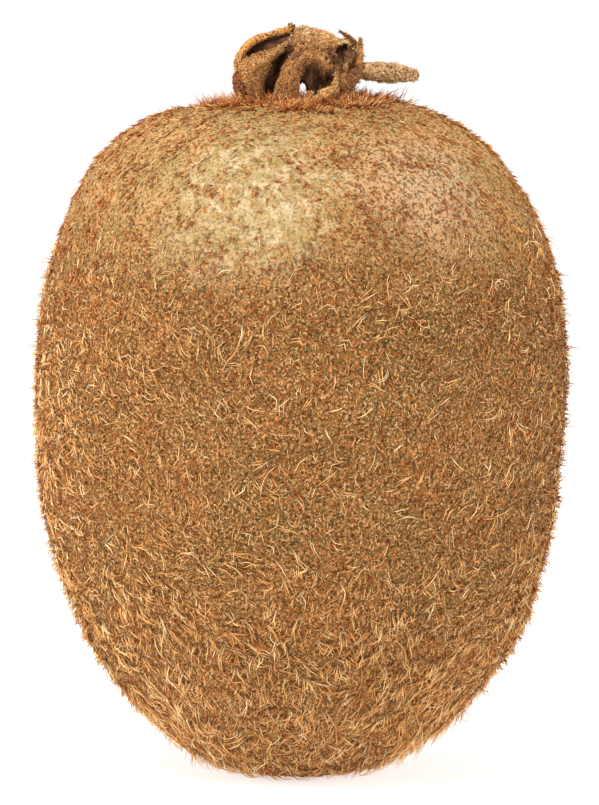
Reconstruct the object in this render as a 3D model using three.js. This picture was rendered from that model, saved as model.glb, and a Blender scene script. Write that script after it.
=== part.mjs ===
// A whole green kiwi fruit standing on its blossom end, with the dried calyx and a
// bent stalk stub still on its crown. Millimetres, +Z up, origin at the middle of the
// small flat spot that the fruit rests on, +X to the side that the stalk points to.

import * as THREE from 'three';
import { ParametricGeometry } from 'three/addons/geometries/ParametricGeometry.js';

// ---------------------------------------------------------------- driving dimensions

const BODY_WIDTH = 51.2; // across X, at the widest level
const BODY_DEPTH = 48.6; // across Y: the fruit is slightly oval
const BODY_HEIGHT = 65.4; // flat spot to the highest ring of the shoulder
const WIDEST_LEVEL = 37.5; // height of the widest level
const BLOSSOM_DROP = 0.4; // how much of the blossom end the flat spot takes off
const SHOULDER_FULLNESS = 2.6; // superellipse exponent above the widest level
const BLOSSOM_FULLNESS = 2.18; // superellipse exponent below it

const BASIN_DEPTH = 1.3; // shallow hollow around the calyx
const BASIN_RADIUS = 6.2;
const BOSS_HEIGHT = 1.1; // woody disc in the hollow that carries the sepals
const BOSS_RADIUS = 5.2;

const BODY_RINGS = 17; // rings of facets above, and again below, the widest level
const BODY_SIDES = 56;

const CALYX_LEVEL = 66; // the heights of the sepals' and the stalk's guide points start here
const SEPAL_THICKNESS = 0.6;
const SEPAL_BLUNTNESS = 5;
const SEPAL_SIDES = 22;
const SEPAL_STEPS = 18;

const STALK_THIN_RADIUS = 0.6;
const STALK_THICK_RADIUS = 1.02;
const STALK_BLUNTNESS = 16;
const STALK_SIDES = 12;
const STALK_STEPS = 26;

// ---------------------------------------------------------------- finishes

function finish(color, roughness) {
  return new THREE.MeshStandardMaterial({ color, roughness, metalness: 0 });
}

const SKIN = finish(0xa9764a, 0.8);
const SEPAL = finish(0x8a623c, 0.9);
const STALK = finish(0x9c7650, 0.9);

// ---------------------------------------------------------------- fruit body

// Height of the crown above its plain rounded top, at a distance from the axis: a
// bell-shaped hollow, with a low rounded disc in its middle.
function crownRelief(radius) {
  const hollow = -BASIN_DEPTH * Math.exp(-((radius / BASIN_RADIUS) ** 2));
  const inBoss = Math.max(0, 1 - (radius / BOSS_RADIUS) ** 2);
  return hollow + BOSS_HEIGHT * inBoss ** 1.5;
}

// One quarter of a superellipse, from the widest level (turn 0) to the pole (turn 1).
function quarterPoint(turn, reach, fullness) {
  const angle = (turn * Math.PI) / 2;
  return {
    radius: (BODY_WIDTH / 2) * Math.cos(angle) ** (2 / fullness),
    rise: reach * Math.sin(angle) ** (2 / fullness),
  };
}

// The fruit's outline from the axis at the flat spot up to the axis at the crown.
function bodyOutline() {
  const lowerReach = WIDEST_LEVEL + BLOSSOM_DROP;
  const flatAngle = Math.asin((WIDEST_LEVEL / lowerReach) ** (BLOSSOM_FULLNESS / 2));
  const flatTurn = flatAngle / (Math.PI / 2);
  const outline = [new THREE.Vector2(0, 0)];
  for (let ring = 0; ring < BODY_RINGS; ring += 1) {
    const turn = flatTurn * (1 - ring / BODY_RINGS);
    const { radius, rise } = quarterPoint(turn, lowerReach, BLOSSOM_FULLNESS);
    outline.push(new THREE.Vector2(radius, WIDEST_LEVEL - rise));
  }
  outline[1].y = 0;
  for (let ring = 0; ring < BODY_RINGS; ring += 1) {
    const turn = ring / BODY_RINGS;
    const upperReach = BODY_HEIGHT - WIDEST_LEVEL;
    const { radius, rise } = quarterPoint(turn, upperReach, SHOULDER_FULLNESS);
    outline.push(new THREE.Vector2(radius, WIDEST_LEVEL + rise + crownRelief(radius)));
  }
  outline.push(new THREE.Vector2(0, BODY_HEIGHT + crownRelief(0)));
  return outline;
}

function makeFruit() {
  const geometry = new THREE.LatheGeometry(bodyOutline(), BODY_SIDES);
  geometry.rotateX(Math.PI / 2);
  geometry.scale(1, BODY_DEPTH / BODY_WIDTH, 1);
  const mesh = new THREE.Mesh(geometry, SKIN);
  mesh.name = 'fruit';
  return mesh;
}

// ---------------------------------------------------------------- sepals

// A smooth line through points given as x, y and height above the calyx level.
function guideLine(points) {
  return new THREE.CatmullRomCurve3(
    points.map(([x, y, rise]) => new THREE.Vector3(x, y, CALYX_LEVEL + rise)),
  );
}

// A point of the thin sheet that passes through guide lines laid side by side. across
// and along run from 0 to 1.
function sheetPoint(guides, across, along) {
  const crossing = new THREE.CatmullRomCurve3(guides.map((guide) => guide.getPoint(along)));
  return crossing.getPoint(across);
}

function sheetNormal(guides, across, along) {
  const step = 0.01;
  const [left, right] = [Math.max(0, across - step), Math.min(1, across + step)];
  const [low, high] = [Math.max(0, along - step), Math.min(1, along + step)];
  const crosswise = sheetPoint(guides, right, along).sub(sheetPoint(guides, left, along));
  const lengthwise = sheetPoint(guides, across, high).sub(sheetPoint(guides, across, low));
  return crosswise.cross(lengthwise).normalize();
}

// 0 at both ends of a piece and 1 along most of it. The higher the bluntness, the
// shorter the taper.
function roundedEnds(along, bluntness) {
  return Math.sqrt(Math.max(0, 1 - Math.abs(2 * along - 1) ** bluntness));
}

// A sepal is its sheet with a lens-shaped section: full thickness along the middle,
// running out to nothing at both margins, at the foot and at the tip. Each guide line
// runs from the foot to the tip.
function makeSepal({ name, guidePoints }) {
  const guides = guidePoints.map(guideLine);
  function surface(around, along, target) {
    const angle = -around * 2 * Math.PI;
    const across = 0.5 + 0.5 * Math.cos(angle);
    const halfThickness = (SEPAL_THICKNESS / 2) * roundedEnds(along, SEPAL_BLUNTNESS);
    const lift = halfThickness * Math.sin(angle);
    target.copy(sheetPoint(guides, across, along));
    target.addScaledVector(sheetNormal(guides, across, along), lift);
  }
  const mesh = new THREE.Mesh(new ParametricGeometry(surface, SEPAL_SIDES, SEPAL_STEPS), SEPAL);
  mesh.name = name;
  return mesh;
}

const SEPALS = [
  {
    // cupped: a front wall, a keel below and a back wall that ends in the highest rim
    name: 'sepal_left',
    guidePoints: [
      [[-5.0, -2.9, -1.0], [-5.7, -3.3, 1.4], [-5.6, -3.2, 2.7], [-3.7, -3.1, 3.4], [-1.3, -2.5, 4.7]],
      [[-4.4, -3.3, -1.0], [-4.8, -4.2, 1.4], [-4.4, -4.2, 2.5], [-2.9, -3.7, 3.4], [-1.2, -2.9, 4.5]],
      [[-3.6, -3.1, -1.0], [-3.6, -3.7, 1.3], [-3.1, -3.8, 2.4], [-2.1, -3.3, 3.5], [-1.0, -2.5, 4.4]],
      [[-3.6, -2.0, -1.0], [-3.9, -1.9, 1.3], [-3.3, -1.8, 2.6], [-2.3, -1.6, 3.6], [-1.0, -1.5, 4.7]],
      [[-4.3, -1.0, -1.0], [-5.3, -0.6, 1.9], [-4.6, -0.5, 3.4], [-2.8, -0.5, 4.5], [-1.0, -0.7, 5.5]],
      [[-4.8, -0.9, -1.0], [-5.9, -0.9, 2.2], [-5.0, -0.8, 4.1], [-3.0, -0.7, 5.3], [-0.9, -0.7, 6.2]],
    ],
  },
  {
    // a band that climbs to the right and arches over a small cave
    name: 'sepal_front',
    guidePoints: [
      [[-2.8, -3.4, -1.0], [-1.8, -4.1, 1.7], [-0.5, -4.2, 3.1], [0.3, -3.8, 4.0], [0.9, -3.7, 4.2], [1.7, -3.6, 3.9], [2.4, -3.5, 3.3]],
      [[-1.9, -4.0, -1.0], [-1.2, -4.8, 1.7], [-0.3, -4.9, 2.9], [0.5, -4.5, 3.6], [1.1, -4.3, 3.7], [1.9, -4.0, 3.4], [2.6, -3.8, 2.8]],
      [[-0.2, -4.2, -1.0], [-0.2, -4.8, 1.5], [-0.1, -4.9, 2.7], [0.5, -4.6, 3.2], [1.3, -4.5, 3.1], [2.1, -4.3, 2.7], [2.8, -4.0, 2.3]],
      [[-0.3, -3.2, -0.8], [-0.3, -3.1, 0.5], [0.1, -2.8, 0.9], [0.6, -2.5, 0.95], [1.3, -2.4, 0.95], [2.0, -2.5, 0.95], [2.6, -2.8, 1.1]],
    ],
  },
  {
    // narrow at the foot and broad at the top, with its hollow inner face to the front
    name: 'sepal_right',
    guidePoints: [
      [[4.4, -2.4, -1.0], [4.4, -2.9, 1.1], [4.5, -3.0, 2.3], [5.0, -3.0, 3.1], [5.1, -2.7, 3.5]],
      [[4.0, -2.2, -1.0], [3.9, -2.4, 1.0], [3.9, -2.3, 2.2], [3.9, -2.1, 3.2], [3.8, -1.8, 4.0]],
      [[3.7, -2.5, -1.0], [3.5, -2.9, 1.1], [3.4, -3.0, 2.4], [3.1, -2.9, 3.4], [2.8, -2.4, 4.1]],
    ],
  },
  {
    // rises at the back and folds forward over the others
    name: 'sepal_roof',
    guidePoints: [
      [[4.6, 2.0, -1.0], [5.7, 2.6, 1.3], [5.9, 1.6, 3.0], [5.7, -0.6, 3.9], [5.3, -2.3, 3.9]],
      [[3.7, 2.8, -1.0], [4.4, 3.6, 1.6], [4.6, 2.6, 3.8], [4.4, -0.2, 4.7], [4.2, -2.8, 4.5]],
      [[3.0, 3.2, -1.0], [2.9, 4.2, 1.7], [2.8, 3.2, 4.4], [2.7, 0.2, 5.4], [2.7, -3.0, 5.0]],
      [[2.2, 3.6, -1.0], [1.8, 4.2, 1.6], [1.0, 3.2, 4.6], [0.9, 0.2, 5.95], [1.2, -2.9, 5.3]],
      [[1.6, 3.9, -1.0], [1.2, 3.9, 1.1], [-0.4, 2.6, 4.2], [-0.9, 0.3, 5.9], [-0.5, -2.3, 5.5]],
    ],
  },
  {
    // stands behind the left and the front sepals, with its dark inner face to the front
    name: 'sepal_back',
    guidePoints: [
      [[-0.4, 1.6, -0.5], [-0.3, 1.7, 1.5], [-0.1, 1.3, 3.2], [0.1, 1.0, 4.4]],
      [[-2.0, 2.0, -0.7], [-2.0, 2.4, 1.5], [-1.6, 2.0, 3.2], [-0.9, 1.4, 4.3]],
      [[-3.5, 1.4, -0.8], [-4.0, 1.7, 1.6], [-3.4, 1.4, 3.2], [-2.0, 1.1, 4.1]],
    ],
  },
];

// ---------------------------------------------------------------- stalk

// The dried stalk leaves the disc upright, bends over and points to +X. It is thin to
// the bend, thickest in the middle of its level stretch, and broken off blunt.
const STALK_GUIDE = [
  [2.4, 0.3, -0.4], [2.5, 0.2, 0.6], [3.4, -0.3, 1.6], [5.0, -1.0, 2.0],
  [7.0, -1.3, 1.9], [9.2, -1.4, 1.7], [11.5, -1.5, 1.45],
];

function makeStalk() {
  const line = guideLine(STALK_GUIDE);
  const up = new THREE.Vector3(0, 1, 0.3);
  const side = new THREE.Vector3();
  const outward = new THREE.Vector3();
  const radiusAt = (along) => {
    const belly = Math.sin(Math.PI * along ** 2.6) ** 2;
    const thickened = STALK_THIN_RADIUS + (STALK_THICK_RADIUS - STALK_THIN_RADIUS) * belly;
    return thickened * roundedEnds(along, STALK_BLUNTNESS);
  };
  function surface(around, along, target) {
    const tangent = line.getTangent(along);
    side.crossVectors(tangent, up).normalize();
    outward.crossVectors(side, tangent);
    const angle = -around * 2 * Math.PI;
    const radius = radiusAt(along);
    target.copy(line.getPoint(along));
    target.addScaledVector(side, radius * Math.cos(angle));
    target.addScaledVector(outward, radius * Math.sin(angle));
  }
  const mesh = new THREE.Mesh(new ParametricGeometry(surface, STALK_SIDES, STALK_STEPS), STALK);
  mesh.name = 'stalk_stub';
  return mesh;
}

// ---------------------------------------------------------------- assembly

const kiwiFruit = new THREE.Group();
kiwiFruit.add(makeFruit());
for (const sepal of SEPALS) {
  kiwiFruit.add(makeSepal(sepal));
}
kiwiFruit.add(makeStalk());

export default kiwiFruit;
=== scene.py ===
"""A whole green kiwi fruit on its blossom end: skin, fuzz, dried calyx and bent stalk stub.

Laid out as an add-on. Every surface is worked out with numpy, in metres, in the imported
model's own frame: +Z up, the middle of the flat spot at the origin, -Y to the front.
"""

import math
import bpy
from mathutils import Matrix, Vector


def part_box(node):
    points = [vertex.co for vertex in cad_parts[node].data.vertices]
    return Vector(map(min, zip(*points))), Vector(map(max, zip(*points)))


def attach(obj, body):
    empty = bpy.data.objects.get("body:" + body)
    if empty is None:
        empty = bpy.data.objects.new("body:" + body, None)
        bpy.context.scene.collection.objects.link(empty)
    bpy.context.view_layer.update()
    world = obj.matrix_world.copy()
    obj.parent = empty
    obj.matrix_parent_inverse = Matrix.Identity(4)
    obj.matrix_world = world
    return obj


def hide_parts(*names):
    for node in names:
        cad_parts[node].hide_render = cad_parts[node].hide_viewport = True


bl_info = {
    "name": "Kiwi Fruit",
    "version": (1, 0, 0),
    "blender": (4, 5, 0),
    "location": "View3D > Sidebar > Kiwi Fruit",
    "description": "Fuzzy kiwi fruit with its dried calyx, hair by hair",
    "category": "Add Mesh",
}

import bpy
import numpy as np
from bpy.props import FloatProperty, FloatVectorProperty, IntProperty, PointerProperty
from bpy.types import Operator, Panel, PropertyGroup
from mathutils import Vector

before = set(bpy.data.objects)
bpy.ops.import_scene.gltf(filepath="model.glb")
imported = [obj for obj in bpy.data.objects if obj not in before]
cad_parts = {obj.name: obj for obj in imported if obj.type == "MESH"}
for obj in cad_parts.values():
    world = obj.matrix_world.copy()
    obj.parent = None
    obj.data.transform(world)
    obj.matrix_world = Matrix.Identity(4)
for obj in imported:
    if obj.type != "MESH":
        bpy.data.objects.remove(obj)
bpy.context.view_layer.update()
BODY = "root"

MM = 0.001
FRUIT_LOW, FRUIT_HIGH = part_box("fruit")
HALF_WIDTH = (FRUIT_HIGH[0] - FRUIT_LOW[0]) / 2
HALF_DEPTH = (FRUIT_HIGH[1] - FRUIT_LOW[1]) / 2
SHOULDER_RISE = 0.2 * MM  # the plain rounded top stands this much over the real shoulder
CALYX_LEVEL = 66 * MM  # the heights of the calyx's guide points start here
HAIR_SIDES = 3
# A hair's darker root is partly its own colour and partly painted shade of the coat round it.
ROOT_SHADE = 0.3  # how bright a hair is at its root, as a share of its colour
UV_LAYER = "OFBake"  # holds the tone of each hair, and the way round and along each sepal
LEVEL_STEP = 2 * MM / 100  # share of the outline over which its slope is measured
SHEET_COLUMNS, SHEET_ROWS = 60, 80  # points across and along a sepal
ALL_OVER = (0, SHEET_COLUMNS)  # felt on every column
# Where the fruit swells a little: the middle, the height and the reach, in mm.
SWELLINGS = (
    ((-13.0, -3.0, 63.5), 0.6, 6.5),
    ((20.5, -2.0, 14.5), 0.5, 9.0),
    ((17.5, -3.0, 57.0), 0.3, 9.0),
    ((-23.5, -3.0, 46.0), -0.5, 10.0),
)
# The rubbed patch is also a painted highlight: its pale, cream-mottled colour stands in for the gloss
# there, over skin that is really bare.
RUBBED_LIT_SPOT = (-4.5, -18.6, 58.0)  # middle of the patch where the fuzz is rubbed off, in mm
WORN_SPOT = (11.0, -15.5, 57.0)  # middle of a fainter, greyish pink patch beside it, in mm


# ------------------------------------------------------------------ settings


def length_property(name, description, millimetres):
    return FloatProperty(
        name=name, description=description, default=millimetres * MM, unit="LENGTH", precision=5
    )


def number_property(name, description, number):
    return FloatProperty(name=name, description=description, default=number)


def count_property(name, description, count):
    return IntProperty(name=name, description=description, default=count)


def colour_property(name, description, colour):
    return FloatVectorProperty(
        name=name,
        description=description,
        default=colour,
        subtype="COLOR",
        size=3,
        min=0.0,
        max=1.0,
    )


class KiwiBodySettings(PropertyGroup):
    """Shape and colours of the fruit body."""

    widest_level: length_property("Widest level", "Height of the widest level", 37.5)
    blossom_drop: length_property("Blossom drop", "What the flat spot takes off the end", 0.4)
    shoulder_fullness: number_property("Shoulder fullness", "Squareness above the widest level", 2.6)
    blossom_fullness: number_property("Blossom fullness", "Squareness below the widest level", 2.18)
    basin_depth: length_property("Basin depth", "Depth of the hollow round the calyx", 1.3)
    basin_radius: length_property("Basin radius", "Radius of the hollow round the calyx", 6.2)
    boss_height: length_property("Disc height", "Height of the woody disc in the hollow", 1.1)
    boss_radius: length_property("Disc radius", "Radius of the woody disc in the hollow", 5.2)
    lump_height: length_property("Lump height", "Height of the broad unevenness", 0.16)
    ground: colour_property("Ground", "Olive-brown ground of the skin", (0.135, 0.070, 0.016))
    earth: colour_property("Earth", "Warm brown of the skin", (0.19, 0.075, 0.016))
    grain: colour_property("Grain", "Pale grains on the skin", (0.58, 0.30, 0.125))
    bare: colour_property("Bare skin", "Greenish skin of the shoulders", (0.33, 0.235, 0.085))
    gilt: colour_property("Tan skin", "Golden tan skin of the shoulders", (0.48, 0.265, 0.10))
    rust: colour_property("Rust", "Rust-red flecks", (0.36, 0.11, 0.022))
    pore: colour_property("Pores", "Dark pores of the skin", (0.045, 0.018, 0.003))
    # Painted highlight: cream mottles that stand in for the gloss on the rubbed skin.
    highlight_cream: colour_property("Cream", "Cream mottling of the rubbed skin", (0.80, 0.66, 0.42))
    blush: colour_property("Blush", "Greyish pink of the worn skin", (0.58, 0.40, 0.26))


class KiwiFuzzSettings(PropertyGroup):
    """Numbers, sizes and colours of the hairs."""

    short_count: count_property("Short hairs", "Hairs of the undercoat", 47000)
    long_count: count_property("Long locks", "Locks of long hairs", 5600)
    fleck_count: count_property("Flecks", "Matted rust-red tufts", 6200)
    base_count: count_property("Base locks", "Locks round the flat spot", 2500)
    crown_count: count_property("Crown locks", "Locks round the calyx", 2100)
    hair_radius: length_property("Hair radius", "Radius of a long hair at its root", 0.052)
    rust: colour_property("Rust", "Matted, rust-red hair", (0.40, 0.10, 0.024))
    brown: colour_property("Brown", "Shaded golden-brown hair", (0.46, 0.17, 0.05))
    gold: colour_property("Gold", "Golden hair", (0.86, 0.45, 0.15))
    pale: colour_property("Pale", "Bleached, pale gold hair", (1.0, 0.75, 0.40))


class KiwiCalyxSettings(PropertyGroup):
    """Sizes and colours of the dried sepals and the stalk."""

    sepal_thickness: length_property("Sepal thickness", "Thickness of a dried sepal", 0.34)
    felt_length: length_property("Felt length", "Length of the felt on the sepals", 0.2)
    felt_count: count_property("Felt hairs", "Hairs on each sepal", 4900)
    outer: colour_property("Outer face", "Felted outer face of a sepal", (0.46, 0.225, 0.08))
    # The dark of the inner face is partly its own colour and partly painted shade of the hollows that
    # it lines.
    inner: colour_property("Inner face", "Smooth inner face of a sepal", (0.07, 0.032, 0.015))
    pit: colour_property("Pits", "Dark pits between the felt", (0.05, 0.014, 0.005))
    stalk: colour_property("Stalk", "Dry, felted stalk", (0.58, 0.36, 0.18))


class KiwiStageSettings(PropertyGroup):
    """Camera, lights and floor."""

    camera_distance: length_property("Camera distance", "From the middle of the fruit", 450)
    camera_elevation: FloatProperty(
        name="Camera elevation",
        description="Angle of the camera above level",
        default=math.radians(5.5),
        subtype="ANGLE",
    )
    lens: number_property("Lens", "Focal length in millimetres", 208.0)
    aim_height: length_property("Aim height", "Height that the camera looks at", 35.9)
    key_power: number_property("Key light", "Power of the soft key", 4.35)
    side_power: number_property("Side lights", "Power of the sides", 2.85)
    sky: number_property("Sky", "Strength of the even white light", 0.36)
    backdrop: number_property("Backdrop", "Brightness behind it", 1.0)
    floor_glow: number_property("Floor glow", "Light from the floor", 0.66)


# ------------------------------------------------------------------ numpy helpers


def smooth_step(low, high, value):
    """0 below low, 1 above high, and an S curve between them."""
    share = np.clip((value - low) / (high - low), 0.0, 1.0)
    return share * share * (3.0 - 2.0 * share)


def unit(vectors):
    """Each vector divided by its own length."""
    return vectors / np.maximum(np.linalg.norm(vectors, axis=-1, keepdims=True), 1e-12)


def wave_noise(points, size, seed, waves=22):
    """Smooth noise of about -2 to 2: a sum of cosine waves, each about `size` long and
    running in its own random direction, divided so that its spread is 1."""
    rng = np.random.default_rng(seed)
    directions = unit(rng.normal(size=(waves, 3)))
    lengths = size * rng.uniform(0.7, 1.5, waves)
    phases = rng.uniform(0, 2 * np.pi, waves)
    turns = points @ (directions * (2 * np.pi / lengths)[:, None]).T + phases
    return np.cos(turns).sum(-1) * math.sqrt(2 / waves)


def over(points, low, high):
    """0 for points under the height low, 1 for points over high, both in mm."""
    return smooth_step(low * MM, high * MM, points[..., 2])


def clumps(points, size, seed, low, high):
    """Soft-edged patches about size mm across: 0 where the noise is under low, 1 over high."""
    return smooth_step(low, high, wave_noise(points, size * MM, seed))


def smooth_line(points, places):
    """A Catmull-Rom line through points (their first axis), read at places from 0 to 1.
    Past either end it runs on straight."""
    points = np.asarray(points, float)
    first, last = 2 * points[:1] - points[1:2], 2 * points[-1:] - points[-2:-1]
    ends = np.concatenate([first, points, last])
    reach = np.asarray(places, float) * (len(points) - 1)
    index = np.clip(np.floor(reach).astype(int), 0, len(points) - 2)
    part = (reach - index).reshape((-1,) + (1,) * (points.ndim - 1))
    a, b, c, d = ends[index], ends[index + 1], ends[index + 2], ends[index + 3]
    return 0.5 * (
        2 * b
        + (c - a) * part
        + (2 * a - 5 * b + 4 * c - d) * part**2
        + (3 * b - 3 * c + d - a) * part**3
    )


# ------------------------------------------------------------------ meshes and materials


def make_object(name, points, corners, sizes, material, uvs=None):
    """A smooth-shaded mesh object from points (n, 3), the corner indices of all faces in
    a row, and the number of corners of each face. uvs holds one pair for each corner."""
    mesh = bpy.data.meshes.new(name)
    mesh.vertices.add(len(points))
    mesh.vertices.foreach_set("co", np.ascontiguousarray(points, np.float32).ravel())
    mesh.loops.add(len(corners))
    mesh.loops.foreach_set("vertex_index", corners.astype(np.int32))
    mesh.polygons.add(len(sizes))
    starts = np.concatenate([[0], np.cumsum(sizes)[:-1]]).astype(np.int32)
    mesh.polygons.foreach_set("loop_start", starts)
    mesh.polygons.foreach_set("use_smooth", np.ones(len(sizes), bool))
    if uvs is not None:
        layer = mesh.uv_layers.new(name=UV_LAYER)
        layer.data.foreach_set("uv", np.ascontiguousarray(uvs, np.float32).ravel())
    mesh.update(calc_edges=True)
    mesh.validate()
    mesh.materials.append(material)
    piece = bpy.data.objects.new(name, mesh)
    bpy.context.scene.collection.objects.link(piece)
    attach(piece, BODY)
    return piece


def loft(rings, poles):
    """Faces of a closed form made of rings (rows, sides) of points. With poles, each end
    is a fan to one point; without, an end ring is sewn shut across its middle. Returns
    the points, the corners and the face sizes."""
    rows, sides, _ = rings.shape
    points = rings.reshape(-1, 3)
    low = np.arange(rows - 1)[:, None] * sides + np.arange(sides)
    low_next = np.arange(rows - 1)[:, None] * sides + (np.arange(sides) + 1) % sides
    walls = np.stack([low, low_next, low_next + sides, low + sides], -1).reshape(-1, 4)
    last = (rows - 1) * sides
    if poles:
        feet = np.stack([rings[0].mean(0), rings[-1].mean(0)])
        points = np.concatenate([points, feet])
        here, after = np.arange(sides), (np.arange(sides) + 1) % sides
        bottom = np.stack([np.full(sides, len(points) - 2), after, here], -1)
        top = np.stack([np.full(sides, len(points) - 1), last + here, last + after], -1)
        ends, end_size = np.concatenate([bottom, top]), 3
    else:
        half = np.arange(sides // 2 - 1)
        bottom = np.stack([half + 1, half, sides - 1 - half, sides - 2 - half], -1)
        top = last + np.stack([half, half + 1, sides - 2 - half, sides - 1 - half], -1)
        ends, end_size = np.concatenate([bottom, top]), 4
    corners = np.concatenate([walls.ravel(), ends.ravel()])
    sizes = np.concatenate([np.full(len(walls), 4), np.full(len(ends), end_size)])
    return points, corners, sizes


class Nodes:
    """A short hand for building one material's nodes."""

    def __init__(self, name, roughness=0.7, specular=0.5):
        self.material = bpy.data.materials.new(name)
        self.material.use_nodes = True
        self.tree = self.material.node_tree
        self.tree.nodes.clear()
        output = self.tree.nodes.new("ShaderNodeOutputMaterial")
        self.shader = self.tree.nodes.new("ShaderNodeBsdfPrincipled")
        self.shader.inputs["Roughness"].default_value = roughness
        self.shader.inputs["Specular IOR Level"].default_value = specular
        self.link(self.shader.outputs["BSDF"], output.inputs["Surface"])
        self.place = self.tree.nodes.new("ShaderNodeTexCoord").outputs["Object"]

    def link(self, source, target):
        self.tree.links.new(source, target)

    def add(self, kind, **settings):
        node = self.tree.nodes.new(kind)
        for key, value in settings.items():
            setattr(node, key, value)
        return node

    def noise(self, size, detail=2.0, roughness=0.55):
        """A noise whose features are about `size` metres across, from 0 to 1."""
        node = self.add("ShaderNodeTexNoise")
        node.inputs["Scale"].default_value = 0.6 / size
        node.inputs["Detail"].default_value = detail
        node.inputs["Roughness"].default_value = roughness
        self.link(self.place, node.inputs["Vector"])
        return node.outputs["Fac"]

    def spread(self, value, low, high, out_low=0.0, out_high=1.0):
        """The value's range low to high carried to out_low to out_high, and held there."""
        node = self.add("ShaderNodeMapRange", interpolation_type="SMOOTHSTEP")
        self.link(value, node.inputs["Value"])
        node.inputs["From Min"].default_value = low
        node.inputs["From Max"].default_value = high
        node.inputs["To Min"].default_value = out_low
        node.inputs["To Max"].default_value = out_high
        return node.outputs["Result"]

    def combine(self, operation, first, second):
        node = self.add("ShaderNodeMath", operation=operation)
        self.link(first, node.inputs[0])
        self.link(second, node.inputs[1])
        return node.outputs[0]

    def product(self, first, second):
        return self.combine("MULTIPLY", first, second)

    def sum(self, first, second):
        return self.combine("ADD", first, second)

    def blend(self, share, first, second, mode="MIX"):
        """Two colours mixed by share. A colour is three numbers or another node's output."""
        node = self.add("ShaderNodeMix", data_type="RGBA", blend_type=mode)
        if isinstance(share, float):
            node.inputs[0].default_value = share
        else:
            self.link(share, node.inputs[0])
        for socket, colour in ((node.inputs[6], first), (node.inputs[7], second)):
            if isinstance(colour, bpy.types.NodeSocket):
                self.link(colour, socket)
            else:
                socket.default_value = (*colour, 1.0)
        return node.outputs[2]

    def away_from(self, middle):
        """How far the skin is from a point given in mm, in metres."""
        node = self.add("ShaderNodeVectorMath", operation="DISTANCE")
        self.link(self.place, node.inputs[0])
        node.inputs[1].default_value = tuple(part * MM for part in middle)
        return node.outputs["Value"]

    def from_middle_line(self):
        """How far the skin is from the upright line through its middle, in metres."""
        flat = self.add("ShaderNodeVectorMath", operation="MULTIPLY")
        flat.inputs[1].default_value = (1.0, 1.0, 0.0)
        self.link(self.place, flat.inputs[0])
        length = self.add("ShaderNodeVectorMath", operation="LENGTH")
        self.link(flat.outputs[0], length.inputs[0])
        return length.outputs["Value"]

    def own_layer(self):
        return self.add("ShaderNodeUVMap", uv_map=UV_LAYER).outputs["UV"]

    def axis(self, name, source=None):
        node = self.add("ShaderNodeSeparateXYZ")
        self.link(source or self.place, node.inputs[0])
        return node.outputs[name]

    def colour(self, source):
        self.link(source, self.shader.inputs["Base Color"])

    def bump(self, height, depth, strength=1.0):
        node = self.add("ShaderNodeBump")
        node.inputs["Strength"].default_value = strength
        node.inputs["Distance"].default_value = depth
        self.link(height, node.inputs["Height"])
        self.link(node.outputs["Normal"], self.shader.inputs["Normal"])


# ------------------------------------------------------------------ fruit body


def fruit_outline(settings):
    """The outline from the middle of the flat spot to the middle of the crown, as radius,
    height and share of the outline's length. Above and below the widest level it is a
    quarter of a superellipse, |r/a|^n + |z/b|^n = 1. The flat spot cuts the lower one, and
    a bell-shaped hollow and a low disc are added to the top."""
    widest = settings.widest_level
    reach = widest + settings.blossom_drop
    flat_angle = math.asin((widest / reach) ** (settings.blossom_fullness / 2))
    angle = np.linspace(flat_angle, 0, 3000)
    low_radius = HALF_WIDTH * np.cos(angle) ** (2 / settings.blossom_fullness)
    low_height = widest - reach * np.sin(angle) ** (2 / settings.blossom_fullness)
    angle = np.linspace(0, math.pi / 2, 3000)[1:]
    top_radius = HALF_WIDTH * np.abs(np.cos(angle)) ** (2 / settings.shoulder_fullness)
    rise = FRUIT_HIGH[2] + SHOULDER_RISE - widest
    top_height = widest + rise * np.sin(angle) ** (2 / settings.shoulder_fullness)
    hollow = -settings.basin_depth * np.exp(-((top_radius / settings.basin_radius) ** 2))
    in_boss = np.clip(1 - (top_radius / settings.boss_radius) ** 2, 0, None)
    top_height = top_height + hollow + settings.boss_height * in_boss**1.5
    flat_radius = np.linspace(0, low_radius[0], 200)[:-1]
    radius = np.concatenate([flat_radius, low_radius, top_radius])
    height = np.concatenate([np.zeros(len(flat_radius)), low_height, top_height])
    length = np.concatenate([[0], np.cumsum(np.hypot(np.diff(radius), np.diff(height)))])
    return radius, np.maximum(height, 0), length / length[-1]


def skin_point(settings, around, level):
    """Points of the skin. around is the angle from the front towards +X; level runs from
    0, the middle of the flat spot, to 1, the middle of the crown, by length of outline.
    Broad lumps, dimples and fine wrinkles push the rounded shape in and out, and each
    swelling adds rise * exp(-(distance / reach)^2)."""
    radius, height, length = fruit_outline(settings)
    level = np.clip(level, 0, 1)
    r = np.interp(level, length, radius)
    z = np.interp(level, length, height)
    sine, cosine = np.sin(around), -np.cos(around)
    plain = np.stack([r * sine, r * cosine * HALF_DEPTH / HALF_WIDTH, z], -1)
    higher, lower = level + LEVEL_STEP, level - LEVEL_STEP
    tilt_r = np.interp(higher, length, radius) - np.interp(lower, length, radius)
    tilt_z = np.interp(higher, length, height) - np.interp(lower, length, height)
    outward = unit(np.stack([tilt_z * sine, tilt_z * cosine, -tilt_r], -1))
    lumps = settings.lump_height * wave_noise(plain, 15 * MM, 11)
    for middle, rise, reach in SWELLINGS:
        away = np.linalg.norm(plain - np.array(middle) * MM, axis=-1) / (reach * MM)
        lumps += rise * MM * np.exp(-(away**2))
    lumps += 0.045 * MM * wave_noise(plain, 3.2 * MM, 12)
    lumps += 0.02 * MM * wave_noise(plain, 1.1 * MM, 13)
    fade = smooth_step(0.0, 5 * MM, z)
    return plain + outward * (lumps * fade - 0.1 * MM * fade)[..., None]


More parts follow.
